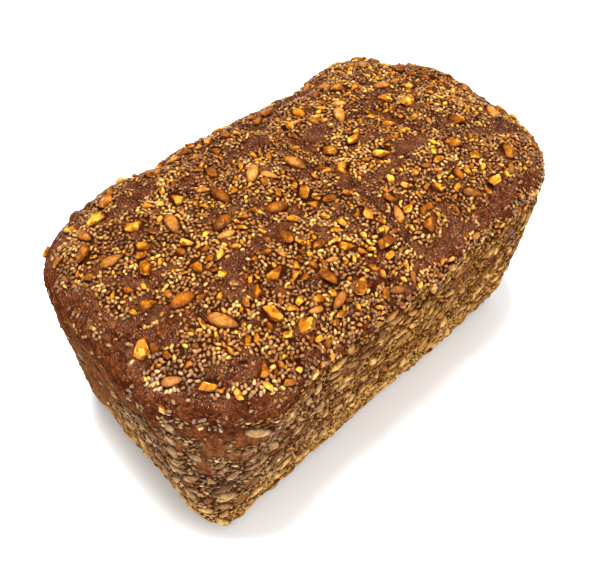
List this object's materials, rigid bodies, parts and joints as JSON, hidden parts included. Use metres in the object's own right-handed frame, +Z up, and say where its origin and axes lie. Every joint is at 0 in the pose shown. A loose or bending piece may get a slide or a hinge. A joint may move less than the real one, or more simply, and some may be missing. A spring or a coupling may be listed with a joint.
{
  "type": "seeded rye bread loaf",
  "caption": "Whole rye bread baked in a tin: a tapered block with a domed top, its dark crust covered with seeds and cracked grain.",
  "frame": {"origin": "middle of the loaf's outline, on the flat underside", "axes": "+X along the loaf, +Y across it, +Z up from the underside to the domed top"},
  "size_m": [0.2028, 0.1153, 0.1109],
  "materials": {
    "crust": "baked rye crust: dark brown, rough and faintly glossy, covered with toasted seeds"
  },
  "bodies": {
    "root": {"loaf": "crust"}
  },
  "joints": []
}
